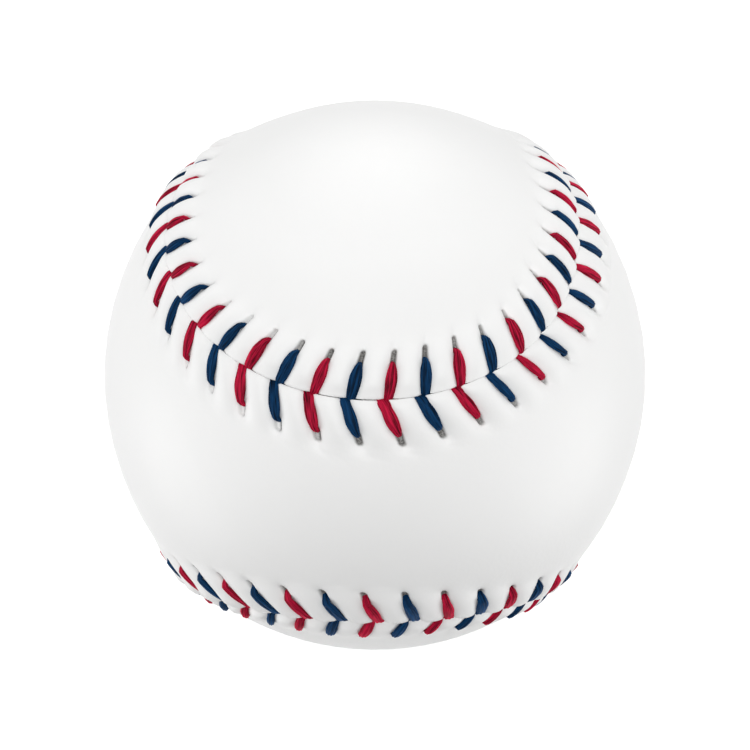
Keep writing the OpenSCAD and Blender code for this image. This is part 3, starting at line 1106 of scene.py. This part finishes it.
def latex_material():
    """Dried latex glue: cream, slightly glossy, with brush marks."""
    material, tree, shader = new_material("dried_latex")
    patch, brush_mark, mark_depth = 4 * MM, 0.8 * MM, 0.05 * MM
    thick_film, thin_film = (0.72, 0.6, 0.36), (0.84, 0.76, 0.54)
    film = grain(tree, patch, 4)
    surface = {
        "Base Color": blend_colour(tree, film, thick_film, thin_film),
        "Roughness": ranged(tree, film, 0.3, 0.5),
        "Normal": bumped(tree, grain(tree, brush_mark, 3), mark_depth),
    }
    fill(tree, shader, surface)
    return material


def finish(piece, material):
    """Gives a whole piece one material."""
    piece.data.materials.clear()
    piece.data.materials.append(material)


# Steps of the work


def seat(piece, node_name):
    """Puts a finished piece on the ball's body in place of its solid."""
    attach(piece, BODY)
    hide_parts(node_name)


class BASEBALL_OT_covers(bpy.types.Operator):
    """Make the two figure-eight leather covers"""

    bl_idname = "baseball.covers"
    bl_label = "Leather covers"

    def execute(self, context):
        scene = context.scene
        material = leather_material(scene.baseball_colours)
        for side, solid in ((FRONT, "front_cover"), (REAR, "rear_cover")):
            piece = leather_cover(scene, side, f"{solid}_leather")
            finish(piece, material)
            seat(piece, solid)
        return {"FINISHED"}


class BASEBALL_OT_threads(bpy.types.Operator):
    """Sew the seam with the red and the navy thread"""

    bl_idname = "baseball.threads"
    bl_label = "Sewing threads"

    def execute(self, context):
        scene = context.scene
        colours = scene.baseball_colours
        for first, solid, tone in ((1, "red_thread", colours.red), (0, "navy_thread", colours.navy)):
            piece = sewing_thread(scene, first, f"{solid}_sewn")
            finish(piece, thread_material(f"waxed_{solid}", tone))
            seat(piece, solid)
        return {"FINISHED"}


class BASEBALL_OT_inside(bpy.types.Operator):
    """Finish the pill, the windings and the glue inside the ball"""

    bl_idname = "baseball.inside"
    bl_label = "Pill, windings and glue"

    def execute(self, context):
        colours = context.scene.baseball_colours
        four_ply, three_ply, fine_yarn = 1.6 * MM, 1.3 * MM, 0.5 * MM
        black_rubber = rubber_material("black_rubber", colours.black_rubber)
        red_rubber = rubber_material("red_rubber", colours.red_rubber)
        latex = latex_material()
        finishes = {
            "cork_core": cork_material(),
            "inner_rubber_upper_half": black_rubber,
            "inner_rubber_lower_half": black_rubber,
            "rubber_washer": red_rubber,
            "outer_rubber_shell": red_rubber,
            "first_wool_winding": yarn_material("four_ply_grey_wool", colours.grey_wool, four_ply),
            "second_wool_winding": yarn_material("three_ply_white_wool", colours.white_wool, three_ply),
            "third_wool_winding": yarn_material("three_ply_grey_wool", colours.grey_wool, three_ply),
            "cotton_winding": yarn_material("fine_cotton", colours.cotton, fine_yarn),
            "front_glue_coat": latex,
            "rear_glue_coat": latex,
        }
        for solid, material in finishes.items():
            finish(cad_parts[solid], material)
        return {"FINISHED"}


# Stage

# The camera's sensor in millimetres, and how far it sees, half of the floor's side and a panel's width, in
# metres
SENSOR_WIDTH = 36
VIEW_END = 20
FLOOR_HALF = 3.0
PANEL_WIDTH = 0.5

# Places of the soft panels round the ball, in metres, and their powers in watts
PANELS = {
    "front_panel": ((0.0, -0.65, 0.28), 2.7),
    "back_panel": ((0.0, 0.45, 0.6), 1.3),
    "left_panel": ((-0.6, -0.05, -0.3), 1.75),
    "right_panel": ((0.6, -0.05, -0.3), 1.6),
    "low_panel": ((0.0, 0.3, -0.5), 1.5),
}

# Directions in which the room is dim, and how near to them its light starts to fall and is lowest
LOW_FRONT = (0, -0.84, -0.54)
LOW_FRONT_LIMITS = (0.2, 0.78)
BELOW = (0, 0.35, -0.94)
BELOW_LIMITS = (0.35, 0.85)


def add_camera(scene):
    """A long lens at the height from which the ball was seen."""
    stage = scene.baseball_stage
    tilt = Vector(stage.tilt)
    to_ball = Matrix.Rotation(tilt.length, 3, tilt.normalized()).transposed()
    data = bpy.data.cameras.new("camera")
    data.lens = stage.lens
    data.sensor_width = SENSOR_WIDTH
    data.clip_end = VIEW_END
    camera = bpy.data.objects.new("camera", data)
    right = to_ball @ Vector((1, 0, 0))
    away = to_ball @ Vector((0, 1, 0))
    up = to_ball @ Vector((0, 0, 1))
    axes = Matrix((right, up, -away)).transposed().to_4x4()
    place = Matrix.Translation(-away * stage.distance * BALL_RADIUS)
    camera.matrix_world = place @ axes
    scene.collection.objects.link(camera)
    scene.camera = camera


def add_panel(scene, name, place, power):
    """A large soft panel of light that faces the ball."""
    data = bpy.data.lights.new(name, "AREA")
    data.shape = "DISK"
    data.size = PANEL_WIDTH
    data.energy = power
    light = bpy.data.objects.new(name, data)
    light.location = place
    light.rotation_euler = (-Vector(place)).to_track_quat("-Z", "Y").to_euler()
    scene.collection.objects.link(light)


def add_floor(scene):
    """A wide pale floor under the ball, which lets the light from below through, like a light table."""
    stage = scene.baseball_stage
    low = -BALL_RADIUS
    corners = [(x * FLOOR_HALF, y * FLOOR_HALF, low) for x, y in ((-1, -1), (1, -1), (1, 1), (-1, 1))]
    mesh = bpy.data.meshes.new("floor")
    mesh.from_pydata(corners, [], [(0, 1, 2, 3)])
    floor = bpy.data.objects.new("floor", mesh)
    floor.visible_diffuse = False
    floor.visible_shadow = False
    scene.collection.objects.link(floor)
    material, tree, shader = new_material("pale_floor")
    surface = {
        "Base Color": (*stage.floor, 1),
        "Emission Color": (1, 1, 1, 1),
        "Emission Strength": stage.floor_glow,
        "Roughness": 0.9,
        "Specular IOR Level": 0.1,
    }
    fill(tree, shader, surface)
    mesh.materials.append(material)


def add_room(scene):
    """White walls all round, apart from the dim parts low in front and under the ball."""
    stage = scene.baseball_stage
    world = bpy.data.worlds.new("soft_room")
    world.use_nodes = True
    tree = world.node_tree
    way = node(tree, "ShaderNodeTexCoord").outputs["Generated"]

    def toward(direction):
        """How nearly a way through the room points in one direction, up to 1."""
        made = node(tree, "ShaderNodeVectorMath", {0: way, 1: direction}, operation="DOT_PRODUCT")
        return made.outputs["Value"]

    light = ranged(tree, toward(LOW_FRONT), stage.room_light, stage.room_front, *LOW_FRONT_LIMITS)
    dimmed = ranged(tree, toward(BELOW), 1.0, stage.room_below, *BELOW_LIMITS)
    walls = {"Strength": calculated(tree, "MULTIPLY", light, dimmed), "Color": (1, 1, 1, 1)}
    fill(tree, tree.nodes["Background"], walls)
    scene.world = world


class BASEBALL_OT_stage(bpy.types.Operator):
    """Set the camera, the pale floor and the soft lights"""

    bl_idname = "baseball.stage"
    bl_label = "Stage"

    def execute(self, context):
        scene = context.scene
        add_camera(scene)
        add_floor(scene)
        for name, (place, power) in PANELS.items():
            add_panel(scene, name, place, power)
        add_room(scene)
        scene.view_settings.view_transform = "Standard"
        return {"FINISHED"}


class BASEBALL_PT_panel(bpy.types.Panel):
    """Sizes, colours and steps of the baseball"""

    bl_idname = "BASEBALL_PT_panel"
    bl_label = "Baseball"
    bl_space_type = "VIEW_3D"
    bl_region_type = "UI"
    bl_category = "Baseball"

    def draw(self, context):
        layout = self.layout
        for step in STEPS:
            layout.operator(step.bl_idname)
        for name in GROUPS:
            group = getattr(context.scene, name)
            box = layout.box()
            for key in group.__annotations__:
                box.prop(group, key)


GROUPS = {
    "baseball_seam": BaseballSeam,
    "baseball_stitches": BaseballStitches,
    "baseball_colours": BaseballColours,
    "baseball_stage": BaseballStage,
}
STEPS = (BASEBALL_OT_stage, BASEBALL_OT_covers, BASEBALL_OT_threads, BASEBALL_OT_inside)


def register():
    """Adds the classes and their settings to Blender."""
    for group in (*GROUPS.values(), *STEPS, BASEBALL_PT_panel):
        bpy.utils.register_class(group)
    for name, group in GROUPS.items():
        setattr(bpy.types.Scene, name, PointerProperty(type=group))


def unregister():
    """Takes the classes and their settings out of Blender."""
    for name in GROUPS:
        delattr(bpy.types.Scene, name)
    for group in (BASEBALL_PT_panel, *reversed(STEPS), *reversed(GROUPS.values())):
        bpy.utils.unregister_class(group)


def main():
    """Builds the whole ball."""
    register()
    bpy.ops.baseball.stage()
    bpy.ops.baseball.covers()
    bpy.ops.baseball.threads()
    bpy.ops.baseball.inside()


if __name__ == "__main__":
    main()
